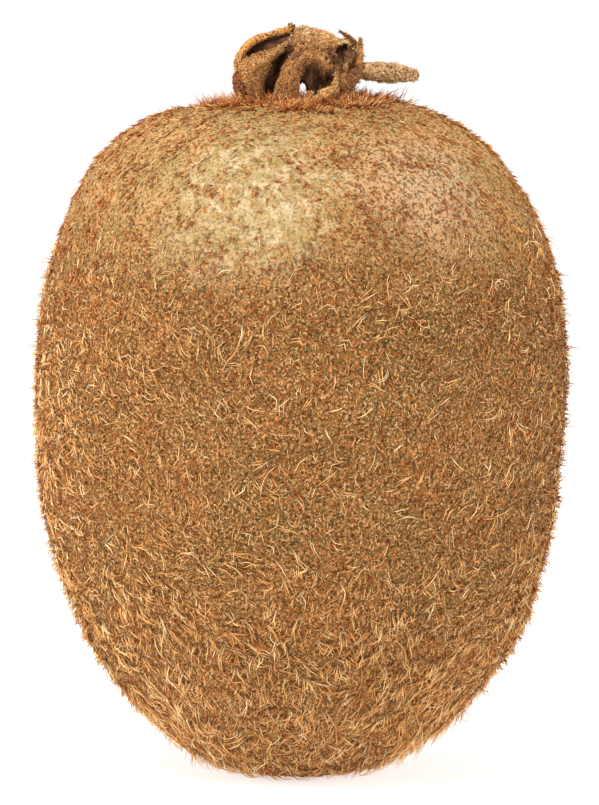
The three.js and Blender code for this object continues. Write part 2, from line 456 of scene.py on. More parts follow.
def skin_frame(settings, around, level):
    """Skin points with their outward normal, the way down to the blossom end and the way
    round towards +X, by differences over a short step."""
    step = 0.004
    point = skin_point(settings, around, level)
    ahead = skin_point(settings, around + step, level)
    above = skin_point(settings, around, np.minimum(level + step, 1))
    below = skin_point(settings, around, np.maximum(level - step, 0))
    up = above - below
    sideways = ahead - point
    normal = unit(np.cross(sideways, up))
    down = unit(-up)
    return point, normal, down, unit(np.cross(normal, down))


def rubbed(points):
    """How far the fuzz is rubbed off, 0 to 1: fully over one broad patch high on the front,
    with a wavering edge, and partly in small patches all over the shoulders."""
    away = np.linalg.norm(points - np.array(RUBBED_LIT_SPOT) * MM, axis=-1)
    away = away + 1.3 * MM * wave_noise(points, 5 * MM, 15)
    patch = 1 - smooth_step(4 * MM, 12 * MM, away)
    spots = clumps(points, 7, 16, 0.5, 1.5)
    return np.maximum(patch, 0.7 * spots * over(points, 46, 54))


def skin_ground(nodes, settings):
    """Olive-brown in slow patches, tan on the shoulders and warmer at the blossom end."""
    height = nodes.axis("Z")
    patches = nodes.spread(nodes.noise(7 * MM, 3.0), 0.35, 0.65)
    base = nodes.blend(patches, settings.ground, settings.earth)
    tan = nodes.blend(nodes.spread(nodes.noise(3 * MM), 0.3, 0.7), settings.bare, settings.gilt)
    base = nodes.blend(nodes.spread(height, 45 * MM, 62 * MM, 0.08, 0.95), base, tan)
    return nodes.blend(nodes.spread(height, 22 * MM, 3 * MM, 0.0, 0.6), base, settings.earth)


def skin_wear_and_highlight(nodes, settings, base):
    """One patch rubbed bare and mottled with cream, partly bare skin and partly a painted
    highlight, and a fainter pink patch beside it. Returns the colour, and how far the first
    patch is rubbed, from 0 to 1."""
    waver = nodes.spread(nodes.noise(5 * MM, 3.0, 0.6), 0.25, 0.75, -2.5 * MM, 2.5 * MM)
    from_pink = nodes.sum(nodes.away_from(WORN_SPOT), waver)
    pink = nodes.spread(from_pink, 10 * MM, 1 * MM, 0.0, 0.45)
    base = nodes.blend(pink, base, settings.blush)
    mottle = nodes.spread(nodes.noise(0.7 * MM, 4.0, 0.65), 0.42, 0.66, 0.0, 0.5)
    # Pale bare skin mottled with cream: the bareness is real, the cream mottles and part of the
    # paleness are a painted highlight.
    worn = nodes.blend(mottle, settings.bare, settings.highlight_cream)
    patch = nodes.spread(nodes.sum(nodes.away_from(RUBBED_LIT_SPOT), waver), 13 * MM, 3.5 * MM)
    return nodes.blend(nodes.spread(patch, 0.0, 1.0, 0.0, 0.85), base, worn), patch


def skin_speckles(nodes, settings, base, patch):
    """Rust-red flecks in clusters, then dark pores and pale grains, which are fainter in
    the rubbed patch."""
    clusters = nodes.spread(nodes.noise(2.6 * MM), 0.4, 0.62)
    flecks = nodes.spread(nodes.noise(0.3 * MM, 2.0, 0.5), 0.52, 0.62, 0.0, 0.8)
    base = nodes.blend(nodes.product(clusters, flecks), base, settings.rust)
    low = nodes.spread(nodes.axis("Z"), 44 * MM, 56 * MM, 1.0, 0.9)
    hairy = nodes.product(low, nodes.spread(patch, 0.0, 1.0, 1.0, 0.6))
    pores = nodes.spread(nodes.noise(0.19 * MM, 2.0, 0.6), 0.54, 0.4, 0.0, 0.85)
    base = nodes.blend(nodes.product(pores, hairy), base, settings.pore)
    grains = nodes.spread(nodes.noise(0.13 * MM, 2.0, 0.6), 0.52, 0.64, 0.0, 0.8)
    return nodes.blend(nodes.product(grains, hairy), base, settings.grain)


def skin_material(settings):
    """The ground with its wear, the painted highlight of the rubbed patch and its speckles,
    darker round the crown and the flat spot, over a fine relief. The rubbed patch is a little
    shinier."""
    nodes = Nodes("kiwi_skin", specular=0.12)
    base, patch = skin_wear_and_highlight(nodes, settings, skin_ground(nodes, settings))
    base = skin_speckles(nodes, settings, base, patch)
    middle = nodes.spread(nodes.from_middle_line(), 5.5 * MM, 2.5 * MM, 0.0, 0.85)
    nodes.colour(nodes.blend(middle, base, settings.ground))
    relief = nodes.sum(nodes.noise(0.16 * MM, 2.0, 0.6), nodes.noise(0.5 * MM, 1.0))
    nodes.bump(relief, 0.11 * MM, 0.9)
    shine = nodes.spread(patch, 0.0, 1.0, 0.85, 0.42)
    rough = nodes.sum(nodes.spread(nodes.noise(0.5 * MM), 0.3, 0.7, -0.1, 0.1), shine)
    nodes.link(rough, nodes.shader.inputs["Roughness"])
    return nodes.material


class KIWI_OT_body(Operator):
    """Make the fruit's skin, with its hollow, its woody disc and its flat spot"""

    bl_idname = "kiwi.body"
    bl_label = "Fruit Body"

    def execute(self, context):
        settings = context.scene.kiwi_body
        rows, sides = 222, 420
        level = np.linspace(0, 1, rows + 2)[1:-1]
        around = np.linspace(0, 2 * np.pi, sides, endpoint=False)
        level, around = np.meshgrid(level, around, indexing="ij")
        rings = skin_point(settings, around, level)
        points, corners, sizes = loft(rings, poles=True)
        points[-2, 2] = 0.0  # the middle of the flat spot
        skin = make_object("fruit_skin", points, corners, sizes, skin_material(settings))
        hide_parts("fruit")
        return {"FINISHED"}


# ------------------------------------------------------------------ hairs


def strand_paths(root, normal, lean, length, lift, droop, curl, steps, wave=0.0):
    """Paths (n, steps + 1, 3) of hairs. A hair leaves its root at the angle lift above the
    skin, towards lean, sinks by droop radians over its length, turns sideways by curl
    radians and swings to and fro by wave radians. The path is the running sum of its
    steps, and falls away with the round of the fruit."""
    side = np.cross(normal, lean)
    share = ((np.arange(steps) + 0.5) / steps)[None, :]
    rise = lift[:, None] - droop[:, None] * share
    turn = curl[:, None] * (share - 0.3) * 1.4
    turn = turn + np.reshape(wave, (-1, 1)) * np.sin(2 * np.pi * share)
    forward = (np.cos(rise) * np.cos(turn))[..., None] * lean[:, None]
    forward = forward + (np.cos(rise) * np.sin(turn))[..., None] * side[:, None]
    forward = forward + np.sin(rise)[..., None] * normal[:, None]
    travel = np.cumsum(forward * (length / steps)[:, None, None], axis=1)
    travel = np.concatenate([np.zeros_like(travel[:, :1]), travel], axis=1)
    height = (travel * normal[:, None]).sum(-1)
    flat = (travel**2).sum(-1) - height**2
    sink = np.maximum(height, 0.02 * MM) - height - flat / (2 * HALF_WIDTH)
    return root[:, None] + travel + sink[..., None] * normal[:, None]


def gather(paths, owner_normal, spread, members, converge, rng):
    """Each path becomes a lock of like hairs: copies whose roots are spread over a small
    disc, and whose tips are drawn together by converge (1 brings them to one point)."""
    count, points, _ = paths.shape
    first = unit(paths[:, -1] - paths[:, 0])
    side = unit(np.cross(owner_normal, first))
    front = np.cross(side, owner_normal)
    shift = rng.normal(size=(count, members, 2)) * spread * 0.5
    shift = shift[..., :1] * side[:, None] + shift[..., 1:] * front[:, None]
    hold = 1 - converge * np.linspace(0, 1, points) ** 1.3
    fanned = paths[:, None] + shift[:, :, None] * hold[None, None, :, None]
    return fanned.reshape(count * members, points, 3)


def hair_faces(count, rings):
    """Corners and face sizes of count closed hairs, each made of rings and a tip: a cap at
    the root, walls of quads, and a fan at the tip."""
    here, after = np.arange(HAIR_SIDES), (np.arange(HAIR_SIDES) + 1) % HAIR_SIDES
    rows = np.arange(rings - 1)[:, None] * HAIR_SIDES
    walls = np.stack(
        [rows + after, rows + here, rows + here + HAIR_SIDES, rows + after + HAIR_SIDES], -1
    ).reshape(-1)
    each = rings * HAIR_SIDES + 1
    last = (rings - 1) * HAIR_SIDES
    tips = np.stack([last + after, last + here, np.full(HAIR_SIDES, each - 1)], -1).reshape(-1)
    pattern = np.concatenate([here, walls, tips])
    corners = (pattern + np.arange(count)[:, None] * each).ravel()
    sizes = np.concatenate([[3], np.full((rings - 1) * HAIR_SIDES, 4), np.full(HAIR_SIDES, 3)])
    return corners, np.tile(sizes, count)


def hair_uvs(tone, rings):
    """Corner UVs for hair_faces: the hair's tone in u, and the way from root to tip in v."""
    here = np.arange(HAIR_SIDES)
    strip = 0.02 / HAIR_SIDES
    row_v = np.repeat(np.arange(rings - 1), HAIR_SIDES)
    wall_u = np.stack([here + 1, here, here, here + 1], -1)
    wall_u = np.tile(wall_u, (rings - 1, 1)).reshape(-1) * strip
    wall_v = np.stack([row_v, row_v, row_v + 1, row_v + 1], -1).reshape(-1) / rings
    tip_u = np.stack([here + 1, here, here + 0.5], -1).reshape(-1) * strip
    tip_v = np.tile([(rings - 1) / rings, (rings - 1) / rings, 1.0], HAIR_SIDES)
    root_u, root_v = np.array([0, 1, 2]) * strip, np.array([0, 0.04, 0])
    pattern_u = np.concatenate([root_u, wall_u, tip_u])
    pattern_v = np.concatenate([root_v, wall_v, tip_v])
    u = 0.01 + 0.96 * np.clip(tone, 0, 1)[:, None] + pattern_u
    v = np.broadcast_to(0.02 + 0.96 * pattern_v, u.shape)
    return np.stack([u, v], -1).reshape(-1, 2)


def strand_mesh(name, paths, normals, radius, tone, material):
    """Closed hairs that taper to a point along paths (n, k, 3), and stay over the floor."""
    count, places, _ = paths.shape
    rings = places - 1
    paths = paths.copy()
    paths[..., 2] = np.maximum(paths[..., 2], radius[:, None])
    ahead = np.concatenate([paths[:, 1:], paths[:, -1:]], 1)
    behind = np.concatenate([paths[:, :1], paths[:, :-1]], 1)
    tangent = unit(ahead - behind)[:, :rings]
    side = unit(np.cross(tangent, normals[:, None]))
    upper = np.cross(side, tangent)
    taper = 1 - 0.7 * (np.arange(rings) / rings) ** 1.5
    angle = np.arange(HAIR_SIDES) * 2 * np.pi / HAIR_SIDES + np.pi / 2
    around = (
        np.cos(angle)[:, None] * side[:, :, None] + np.sin(angle)[:, None] * upper[:, :, None]
    )
    thick = (radius[:, None] * taper)[..., None, None]
    walls = (paths[:, :rings, None] + around * thick).reshape(count, rings * HAIR_SIDES, 3)
    points = np.concatenate([walls, paths[:, -1:]], 1).reshape(-1, 3)
    corners, sizes = hair_faces(count, rings)
    return make_object(name, points, corners, sizes, material, hair_uvs(tone, rings))


def hair_material(name, settings, root_shade=ROOT_SHADE):
    """Hair coloured by tone, from rust through gold to pale, and darkened to root_shade of
    that at its root: partly the hair's own darker root, partly painted shade among the hairs."""
    nodes = Nodes(name, roughness=0.55, specular=0.04)
    layer = nodes.own_layer()
    tone = nodes.axis("X", layer)
    along = nodes.axis("Y", layer)
    colour = nodes.blend(nodes.spread(tone, 0.05, 0.3), settings.rust, settings.brown)
    colour = nodes.blend(nodes.spread(tone, 0.25, 0.62), colour, settings.gold)
    colour = nodes.blend(nodes.spread(tone, 0.6, 0.95), colour, settings.pale)
    root = nodes.spread(along, 0.0, 0.5, root_shade, 1.0)
    grey = nodes.add("ShaderNodeCombineColor")
    for socket in ("Red", "Green", "Blue"):
        nodes.link(root, grey.inputs[socket])
    nodes.colour(nodes.blend(1.0, colour, grey.outputs[0], "MULTIPLY"))
    return nodes.material


def scatter(settings, rng, count, density):
    """count places (around, level) spread over the skin by area and thinned by density, a
    function of the points that gives 0 to 1."""
    kept = np.empty((0, 2))
    while len(kept) < count:
        around = rng.uniform(-np.pi, np.pi, 3 * count)
        level = rng.uniform(0, 1, 3 * count)
        points = skin_point(settings, around, level)
        share = np.hypot(points[:, 0], points[:, 1]) / HALF_WIDTH * density(points)
        keep = rng.uniform(0, 1, 3 * count) < share
        kept = np.concatenate([kept, np.stack([around, level], -1)[keep]])
    return kept[:count, 0], kept[:count, 1]


def facing(points):
    """The angle of points round the fruit, 0 at the front and positive towards +X."""
    return np.arctan2(points[:, 0], -points[:, 1])


class Coat:
    """One coat of hair while it grows: its roots, the paths of its hairs, and its own
    stream of random numbers. between and normals give one number for each hair."""

    def __init__(self, context, seed, count, density):
        self.body, self.fuzz = context.scene.kiwi_body, context.scene.kiwi_fuzz
        self.rng = np.random.default_rng(seed)
        self.count = count
        around, level = scatter(self.body, self.rng, count, density)
        self.root, self.normal, self.down, self.sideways = skin_frame(self.body, around, level)

    def between(self, low, high):
        return self.rng.uniform(low, high, self.count)

    def normals(self, spread, middle=0.0):
        return self.rng.normal(middle, spread, self.count)

    def turned(self, angle):
        """The way that hairs lie: angle away from straight down, towards +X."""
        return np.cos(angle)[:, None] * self.down + np.sin(angle)[:, None] * self.sideways

    def combed(self, jitter):
        """Hairs that lie down towards the blossom end, swept forwards on both flanks, with
        slow swirls and a jitter of its own for each hair, in radians. Swirls and jitter
        are less on the flanks."""
        across = np.sin(facing(self.root))
        sweep = -1.45 * np.sign(across) * np.abs(across) ** 1.1
        sweep = sweep * (1 - over(self.root, 46, 60)) * over(self.root, 2, 12)
        loose = 1 - 0.6 * np.abs(across)
        swirl = 0.4 * wave_noise(self.root, 12 * MM, 31)
        return self.turned(sweep + (swirl + self.normals(jitter)) * loose)

    def grow(self, lean, length, lift, droop, curl, steps, wave=0.0):
        self.paths = strand_paths(
            self.root, self.normal, lean, length, lift, droop, curl, steps, wave
        )

    def lock(self, spread, members, converge):
        """Each hair becomes a lock of hairs."""
        self.paths = gather(self.paths, self.normal, spread, members, converge, self.rng)
        self.normal = np.repeat(self.normal, members, 0)
        self.root = np.repeat(self.root, members, 0)
        self.count *= members

    def loosen(self, amount):
        """Each hair's tip half wanders off on its own way, by a normal spread of amount."""
        drift = self.rng.normal(size=(self.count, 1, 3)) * amount
        way = np.linspace(0, 1, self.paths.shape[1]) ** 1.5
        self.paths = self.paths + drift * way[None, :, None]

    def finish(self, name, material_name, radius, tone, pieces, root_shade=ROOT_SHADE):
        """The hairs as several meshes, shared out by the angle round the fruit."""
        material = hair_material(material_name, self.fuzz, root_shade)
        order = np.argsort(facing(self.paths[:, 0]), kind="stable")
        for number, share in enumerate(np.array_split(order, pieces), 1):
            strand_mesh(
                f"{name}_{number}",
                self.paths[share],
                self.normal[share],
                radius[share],
                tone[share],
                material,
            )


def off_the_crown(points):
    """0 on the calyx's disc, 1 outside it."""
    radius = np.hypot(points[:, 0], points[:, 1])
    return 1 - over(points, 60, 63) * (1 - smooth_step(4.0 * MM, 5.5 * MM, radius))


def off_the_floor(points):
    """0 on the floor, 1 a little over it."""
    return over(points, 0.2, 1.2)


def short_density(points):
    """The undercoat: even, in slight clumps, and nearly gone where it is rubbed off."""
    thin = 1 - 0.45 * over(points, 46, 56)
    thin = thin * (0.55 + 0.45 * clumps(points, 1.6, 42, -0.8, 0.8)) * (1 - 0.85 * rubbed(points))
    return thin * off_the_crown(points) * off_the_floor(points)


def long_density(points):
    """Long hair: below the shoulders, in tangled patches. It is thick on the flanks and
    at the blossom end, and thin in the middle of the right side."""
    angle, height = facing(points), points[:, 2]
    below_shoulder = 1 - 0.98 * over(points, 42, 56)
    thin = np.exp(-(((angle - 0.45) / 0.6) ** 2) - ((height - 36 * MM) / (11 * MM)) ** 2)
    thick = np.maximum(1 - over(points, 6, 26), smooth_step(0.5, 1.0, -angle))
    thick = np.maximum(thick, 0.8 * smooth_step(1.0, 1.4, angle))
    patches = 0.45 + 0.55 * clumps(points, 8, 41, -0.6, 0.8)
    cover = (0.55 + 0.45 * thick) * (1 - 0.75 * thin) * patches
    return below_shoulder * cover * off_the_floor(points)


def fleck_density(points):
    """Matted flecks: mostly on the shoulders, in clusters."""
    band = over(points, 38, 50) * (1 - 0.2 * rubbed(points))
    clusters = clumps(points, 4.5, 51, -0.5, 0.9)
    return (0.24 + 0.76 * band) * (0.25 + 0.75 * clusters) * off_the_crown(points)


def base_density(points):
    """Thick fur round the flat spot."""
    return (1 - over(points, 13, 28)) * over(points, 0.3, 3)


class KIWI_OT_short_fuzz(Operator):
    """Grow the short undercoat all over the skin"""

    bl_idname = "kiwi.short_fuzz"
    bl_label = "Short Fuzz"

    def execute(self, context):
        coat = Coat(context, 101, context.scene.kiwi_fuzz.short_count, short_density)
        lean = coat.combed(0.95)
        length = coat.between(0.4, 1.1) * MM * (1 - 0.35 * over(coat.root, 44, 56))
        lift = coat.between(0.2, 0.9) + 0.7 * (coat.between(0, 1) < 0.3)
        droop = coat.between(0.2, 0.9)
        coat.grow(lean, length, lift, droop, coat.normals(0.6), 2)
        radius = coat.between(0.026, 0.042) * MM
        rusty = clumps(coat.root, 1.1, 61, 0.4, 1.2)
        tone = coat.normals(0.3, 0.47) - 0.45 * rusty
        coat.finish("short_fuzz", "kiwi_short_hair", radius, tone, 4)
        return {"FINISHED"}


class KIWI_OT_long_fuzz(Operator):
    """Grow the long, tangled golden hairs below the shoulders"""

    bl_idname = "kiwi.long_fuzz"
    bl_label = "Long Fuzz"

    def execute(self, context):
        coat = Coat(context, 202, context.scene.kiwi_fuzz.long_count, long_density)
        lean = coat.combed(0.75)
        length = (coat.between(1.1, 2.5) + 0.5 * (1 - over(coat.root, 12, 40))) * MM
        upright = coat.between(0, 1) < 0.18
        lift = coat.between(0.25, 0.8) + 0.6 * upright
        droop = lift * coat.between(1.0, 2.0) * (1 - 0.7 * upright)
        length = length * (1 - 0.35 * upright)
        coat.grow(lean, length, lift, droop, coat.normals(0.6), 4, coat.normals(0.5))
        coat.lock(0.5 * MM, 2, 0.5)
        coat.loosen(0.3 * MM)
        radius = coat.fuzz.hair_radius * coat.between(0.75, 1.15)
        tone = coat.normals(0.2, 0.66) - 0.25 * clumps(coat.root, 2.5, 62, 0.8, 1.6)
        coat.finish("long_fuzz", "kiwi_long_hair", radius, tone, 3)
        return {"FINISHED"}


class KIWI_OT_flecks(Operator):
    """Lay the matted rust-red tufts on the shoulders"""

    bl_idname = "kiwi.flecks"
    bl_label = "Rust Flecks"

    def execute(self, context):
        locks, members = context.scene.kiwi_fuzz.fleck_count, 4
        coat = Coat(context, 303, locks, fleck_density)
        lean = coat.combed(1.0)
        length = coat.between(0.35, 0.95) * MM
        lift = coat.between(0.2, 1.1)
        droop = lift * coat.between(0.5, 1.5)
        coat.grow(lean, length, lift, droop, coat.normals(1.3), 2)
        coat.lock(0.24 * MM, members, 0.6)
        radius = coat.between(0.028, 0.045) * MM
        tone = np.repeat(coat.rng.normal(0.25, 0.16, locks), members) + coat.normals(0.07)
        coat.finish("rust_flecks", "kiwi_fleck_hair", radius, tone, 2, root_shade=0.4)
        return {"FINISHED"}


class KIWI_OT_base_fur(Operator):
    """Grow the thick golden fur round the flat spot"""

    bl_idname = "kiwi.base_fur"
    bl_label = "Base Fur"

    def execute(self, context):
        coat = Coat(context, 404, context.scene.kiwi_fuzz.base_count, base_density)
        lean = coat.combed(0.6)
        length = coat.between(0.7, 1.6) * MM * (0.35 + 0.65 * over(coat.root, 0.5, 9))
        lift = coat.between(0.2, 0.6) + coat.between(0, 1.0) * over(coat.root, 3, 12)
        droop = lift * coat.between(0.2, 1.2)
        coat.grow(lean, length, lift, droop, coat.normals(0.6), 3)
        coat.lock(0.5 * MM, 3, 0.35)
        coat.loosen(0.1 * MM)
        radius = coat.between(0.028, 0.042) * MM
        # Hairs within a few mm of the floor are darkened: painted contact shade at the foot of the
        # fruit.
        tone = coat.normals(0.24, 0.6) - 0.5 * (1 - over(coat.root, 0.8, 3))
        coat.finish("base_fur", "kiwi_base_hair", radius, tone, 1)
        return {"FINISHED"}


def crown_density(points):
    """Hair round the calyx: full under the sepals, and in ragged clumps further out."""
    radius = np.hypot(points[:, 0], points[:, 1])
    ring = smooth_step(3.2 * MM, 4.4 * MM, radius) * (1 - smooth_step(6.0 * MM, 10.5 * MM, radius))
    tufts = clumps(points, 3.4, 71, -0.2, 0.7)
    ring = ring * (tufts + (1 - tufts) * (1 - smooth_step(5.0 * MM, 6.2 * MM, radius)))
    return ring * over(points, 60, 62)


class KIWI_OT_crown_tuft(Operator):
    """Grow the ring of reddish-brown tufts round the calyx"""

    bl_idname = "kiwi.crown_tuft"
    bl_label = "Crown Tuft"

    def execute(self, context):
        coat = Coat(context, 505, context.scene.kiwi_fuzz.crown_count, crown_density)
        lean = coat.turned(coat.normals(1.3))
        length = coat.between(0.7, 1.8) * MM
        lift = coat.between(0.2, 1.4)
        droop = coat.between(0.0, 1.1)
        coat.grow(lean, length, lift, droop, coat.normals(1.2), 3)
        coat.lock(0.45 * MM, 3, 0.5)
        coat.loosen(0.28 * MM)
        radius = coat.between(0.032, 0.056) * MM
        tone = coat.normals(0.34, 0.2)
        coat.finish("crown_tuft", "kiwi_crown_hair", radius, tone, 1, root_shade=0.15)
        return {"FINISHED"}


# ------------------------------------------------------------------ calyx and stalk

# Guide lines of each sepal, laid side by side. Each runs from the foot to the tip, as
# x, y and height over the calyx level, in millimetres.
SEPALS = {
    "sepal_left": [
        [(-5.0, -2.9, -1.0), (-5.7, -3.3, 1.4), (-5.6, -3.2, 2.7), (-3.7, -3.1, 3.4),
         (-1.3, -2.5, 4.7)],
        [(-4.4, -3.3, -1.0), (-4.8, -4.2, 1.4), (-4.4, -4.2, 2.5), (-2.9, -3.7, 3.4),
         (-1.2, -2.9, 4.5)],
        [(-3.6, -3.1, -1.0), (-3.6, -3.7, 1.3), (-3.1, -3.8, 2.4), (-2.1, -3.3, 3.5),
         (-1.0, -2.5, 4.4)],
        [(-3.6, -2.0, -1.0), (-3.9, -1.9, 1.3), (-3.3, -1.8, 2.6), (-2.3, -1.6, 3.6),
         (-1.0, -1.5, 4.7)],
        [(-4.3, -1.0, -1.0), (-5.3, -0.6, 1.9), (-4.6, -0.5, 3.4), (-2.8, -0.5, 4.5),
         (-1.0, -0.7, 5.5)],
        [(-4.8, -0.9, -1.0), (-5.9, -0.9, 2.2), (-5.0, -0.8, 4.1), (-3.0, -0.7, 5.3),
         (-0.9, -0.7, 6.2)],
    ],
    "sepal_front": [
        [(-2.8, -3.4, -1.0), (-1.8, -4.1, 1.7), (-0.5, -4.2, 3.1), (0.3, -3.8, 4.0), (0.9, -3.7, 4.2),
         (1.7, -3.6, 3.9), (2.4, -3.5, 3.3)],
        [(-1.9, -4.0, -1.0), (-1.2, -4.8, 1.7), (-0.3, -4.9, 2.9), (0.5, -4.5, 3.6), (1.1, -4.3, 3.7),
         (1.9, -4.0, 3.4), (2.6, -3.8, 2.8)],
        [(-0.2, -4.2, -1.0), (-0.2, -4.8, 1.5), (-0.1, -4.9, 2.7), (0.5, -4.6, 3.2), (1.3, -4.5, 3.1),
         (2.1, -4.3, 2.7), (2.8, -4.0, 2.3)],
        [(-0.3, -3.2, -0.8), (-0.3, -3.1, 0.5), (0.1, -2.8, 0.9), (0.6, -2.5, 0.95), (1.3, -2.4, 0.95),
         (2.0, -2.5, 0.95), (2.6, -2.8, 1.1)],
    ],
    "sepal_right": [
        [(4.4, -2.4, -1.0), (4.4, -2.9, 1.1), (4.5, -3.0, 2.3), (5.0, -3.0, 3.1), (5.1, -2.7, 3.5)],
        [(4.0, -2.2, -1.0), (3.9, -2.4, 1.0), (3.9, -2.3, 2.2), (3.9, -2.1, 3.2), (3.8, -1.8, 4.0)],
        [(3.7, -2.5, -1.0), (3.5, -2.9, 1.1), (3.4, -3.0, 2.4), (3.1, -2.9, 3.4), (2.8, -2.4, 4.1)],
    ],
    "sepal_roof": [
        [(4.6, 2.0, -1.0), (5.7, 2.6, 1.3), (5.9, 1.6, 3.0), (5.7, -0.6, 3.9), (5.3, -2.3, 3.9)],
        [(3.7, 2.8, -1.0), (4.4, 3.6, 1.6), (4.6, 2.6, 3.8), (4.4, -0.2, 4.7), (4.2, -2.8, 4.5)],
        [(3.0, 3.2, -1.0), (2.9, 4.2, 1.7), (2.8, 3.2, 4.4), (2.7, 0.2, 5.4), (2.7, -3.0, 5.0)],
        [(2.2, 3.6, -1.0), (1.8, 4.2, 1.6), (1.0, 3.2, 4.6), (0.9, 0.2, 5.95), (1.2, -2.9, 5.3)],
        [(1.6, 3.9, -1.0), (1.2, 3.9, 1.1), (-0.4, 2.6, 4.2), (-0.9, 0.3, 5.9), (-0.5, -2.3, 5.5)],
    ],
    # sepal_back lines the hollow under the roof: its dark inner face there is painted shade of that
    # hollow as well as the face's own colour.
    "sepal_back": [
        [(-0.4, 1.6, -0.5), (-0.3, 1.7, 1.5), (-0.1, 1.3, 3.2), (0.1, 1.0, 4.4)],
        [(-2.0, 2.0, -0.7), (-2.0, 2.4, 1.5), (-1.6, 2.0, 3.2), (-0.9, 1.4, 4.3)],
        [(-3.5, 1.4, -0.8), (-4.0, 1.7, 1.6), (-3.4, 1.4, 3.2), (-2.0, 1.1, 4.1)],
    ],
}

# Guide lines of the folds and curls that the sepals' margins dried into.
FOLDS = {
    "rolled_rim": [
        [(-4.7, -0.5, -1.0), (-5.7, -0.5, 2.1), (-4.8, -0.5, 3.9), (-2.9, -0.4, 5.15),
         (-0.9, -0.4, 6.1)],
        [(-4.8, -0.9, -1.0), (-5.95, -0.9, 2.3), (-5.05, -0.9, 4.25), (-3.0, -0.8, 5.5),
         (-0.8, -0.7, 6.35)],
        [(-4.8, -1.3, -1.0), (-5.85, -1.3, 2.2), (-4.95, -1.3, 4.1), (-2.95, -1.2, 5.35),
         (-0.9, -1.1, 6.2)],
        [(-4.7, -1.1, -1.0), (-5.75, -1.1, 2.15), (-4.85, -1.1, 3.98), (-2.85, -1.0, 5.22),
         (-1.0, -0.9, 6.1)],
    ],
    "lower_curl": [
        [(-4.9, -2.0, -1.2), (-5.4, -2.4, -0.2), (-5.5, -2.6, 1.0), (-5.3, -2.8, 2.0)],
        [(-5.3, -2.6, -1.2), (-6.0, -2.9, -0.1), (-6.2, -3.0, 1.2), (-5.7, -3.0, 2.0)],
        [(-4.7, -3.3, -1.2), (-5.3, -3.8, -0.1), (-5.4, -3.9, 1.1), (-5.2, -3.6, 2.0)],
    ],
    "cave_lip": [
        [(1.5, -3.6, -1.1), (2.5, -3.6, -1.0), (3.2, -3.5, -0.8), (3.6, -3.1, -0.4)],
        [(1.5, -4.4, -0.9), (2.5, -4.7, -0.5), (3.3, -4.4, 0.0), (3.8, -3.7, 1.1)],
        [(1.7, -4.4, 0.1), (2.6, -4.6, 0.45), (3.25, -4.3, 1.1), (3.45, -3.7, 2.2)],
    ],
    "pointed_flake": [
        [(5.2, -0.9, 3.3), (5.15, -1.2, 4.3), (4.8, -1.4, 5.1), (4.2, -1.6, 5.5)],
        [(5.4, -1.4, 3.3), (5.35, -1.6, 4.2), (5.0, -1.8, 4.95), (4.25, -1.8, 5.5)],
        [(5.6, -1.0, 3.3), (5.55, -1.3, 4.1), (5.2, -1.5, 4.8), (4.4, -1.6, 5.4)],
    ],
    "pointed_tip": [
        [(5.0, -1.4, 1.6), (5.1, -1.7, 2.9), (5.4, -1.8, 3.9), (5.75, -1.7, 4.9)],
        [(5.5, -1.8, 1.6), (5.6, -2.1, 2.7), (5.7, -2.0, 3.8), (5.8, -1.8, 4.9)],
        [(5.9, -1.6, 1.6), (6.05, -1.8, 2.6), (5.9, -1.8, 3.7), (5.85, -1.7, 4.9)],
    ],
    "roof_hem": [
        [(3.4, -3.1, 4.75), (3.5, -3.5, 4.4), (3.4, -3.6, 4.0), (3.2, -3.5, 3.6)],
        [(2.2, -3.1, 5.0), (2.2, -3.6, 4.7), (2.1, -3.8, 4.3), (2.0, -3.6, 3.9)],
        [(0.9, -3.0, 5.3), (0.8, -3.4, 5.0), (0.8, -3.6, 4.6), (0.9, -3.4, 4.2)],
        [(-0.7, -2.7, 5.5), (-0.9, -2.9, 5.1), (-0.7, -3.0, 4.6), (-0.3, -3.0, 4.1)],
    ],
    "neck": [
        [(4.3, -2.2, -1.2), (4.4, -2.3, 0.5), (4.7, -2.4, 1.4), (5.0, -2.3, 2.3)],
        [(4.8, -2.6, -1.2), (4.9, -2.8, 0.5), (5.2, -2.8, 1.4), (5.5, -2.5, 2.2)],
        [(5.1, -2.0, -1.2), (5.3, -2.1, 0.5), (5.8, -2.2, 1.3), (6.1, -2.0, 1.8)],
    ],
}

STALK_FELT = slice(20, -2)  # the rings of the stalk that carry felt
STALK = [
    (2.4, 0.3, -0.4),
    (2.5, 0.2, 0.6),
    (3.4, -0.3, 1.6),
    (5.0, -1.0, 2.0),
    (7.0, -1.3, 1.9),
    (9.2, -1.4, 1.7),
    (11.5, -1.5, 1.45),
]


def calyx_points(guides):
    """Guide points in metres, in the fruit's frame."""
    return np.asarray(guides, float) * MM + np.array([0, 0, CALYX_LEVEL])


def ragged(places, seed, amount):
    """A ragged edge: coarse bites and fine teeth along places, of about amount."""
    along = np.stack([places, places * 0, places * 0], -1)
    coarse = wave_noise(along, 0.3, seed)
    fine = wave_noise(along, 0.06, seed + 1)
    return amount * (0.5 * coarse + 0.5 * fine)


